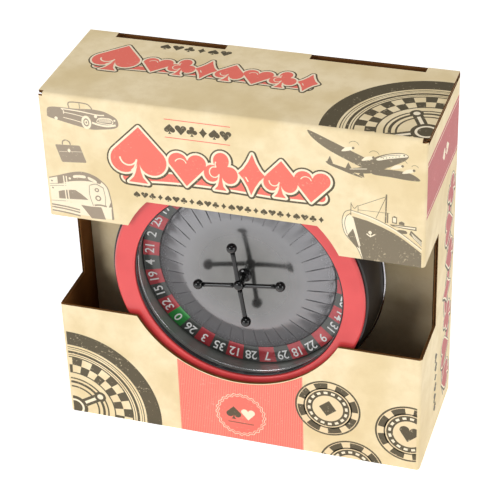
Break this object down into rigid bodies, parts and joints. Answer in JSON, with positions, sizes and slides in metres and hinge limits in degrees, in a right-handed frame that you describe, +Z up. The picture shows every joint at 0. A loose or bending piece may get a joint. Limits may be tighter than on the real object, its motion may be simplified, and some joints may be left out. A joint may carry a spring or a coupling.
{
  "type": "travel roulette wheel set",
  "caption": "Small roulette wheel with a spinning rotor and cross turret, shown in a windowed board carton with a hinged lid and a ball in a storage cup.",
  "frame": {"origin": "middle of the carton's base, on the surface it stands on", "axes": "+Z up, -Y out of the carton's front, where the wheel looks out; the wheel's axis lies along Y"},
  "size_m": [0.22, 0.084, 0.222],
  "materials": {
    "printed_board": "corrugated board printed in cream, olive brown and coral, matt varnish",
    "kraft_board": "bare brown kraft corrugated board",
    "red_plastic": "satin red moulded plastic",
    "chrome_trim": "bright plated trim ring",
    "black_plastic": "glossy black moulded plastic",
    "metallised_plastic": "satin grey metallised plastic with moulded frets",
    "number_print": "printed ring of red, black and green cells with white numbers",
    "steel": "bright steel",
    "brass": "sintered brass bush",
    "ivory_plastic": "polished ivory-white plastic"
  },
  "bodies": {
    "carton": {"carton_header": "printed_board", "carton_tray_front": "printed_board", "carton_left_side": "printed_board", "carton_right_side": "printed_board", "carton_back": "printed_board", "platform": "printed_board", "carton_bottom": "kraft_board", "platform_left_fold": "kraft_board", "platform_right_fold": "kraft_board", "flange_ring": "red_plastic", "lip_ring": "chrome_trim", "bright_band": "chrome_trim", "track_ring": "black_plastic", "outer_shell": "black_plastic", "bowl_floor": "black_plastic", "base_plate": "black_plastic", "base_screw_1": "steel", "base_screw_2": "steel", "base_screw_3": "steel", "spindle": "steel", "thrust_washer": "steel", "ball_cup": "black_plastic"},
    "rotor": {"rotor": "metallised_plastic", "number_ring": "number_print", "bearing_bush": "brass", "turret_stem": "black_plastic", "turret_hub": "black_plastic", "turret_arm_1": "black_plastic", "turret_arm_2": "black_plastic", "turret_arm_3": "black_plastic", "turret_arm_4": "black_plastic", "turret_knob_1": "black_plastic", "turret_knob_2": "black_plastic", "turret_knob_3": "black_plastic", "turret_knob_4": "black_plastic"},
    "lid": {"lid": "printed_board", "lid_tuck": "kraft_board"},
    "left_dust_flap": {"left_dust_flap": "kraft_board"},
    "right_dust_flap": {"right_dust_flap": "kraft_board"},
    "ball": {"ball": "ivory_plastic"}
  },
  "joints": [
    {"name": "rotor_spin", "type": "hinge", "parent": "carton", "child": "rotor", "pos_m": [0.001, -0.0247, 0.1083], "axis": [0, -1, 0], "continuous": true},
    {"name": "lid_hinge", "type": "hinge", "parent": "carton", "child": "lid", "pos_m": [0, -0.042, 0.22005], "axis": [1, 0, 0], "range_deg": [0, 165]},
    {"name": "left_dust_fold", "type": "hinge", "parent": "carton", "child": "left_dust_flap", "pos_m": [-0.11, -0.003, 0.218], "axis": [0, -1, 0], "range_deg": [0, 66]},
    {"name": "right_dust_fold", "type": "hinge", "parent": "carton", "child": "right_dust_flap", "pos_m": [0.11, -0.003, 0.218], "axis": [0, 1, 0], "range_deg": [0, 66]},
    {"name": "ball_lift", "type": "slide", "parent": "carton", "child": "ball", "axis": [0, 0, 1], "range_m": [0, 0.06]}
  ],
  "couplings": [
    {"joint": "left_dust_fold", "follows": "lid_hinge", "ratio": 0.4},
    {"joint": "right_dust_fold", "follows": "lid_hinge", "ratio": 0.4}
  ]
}
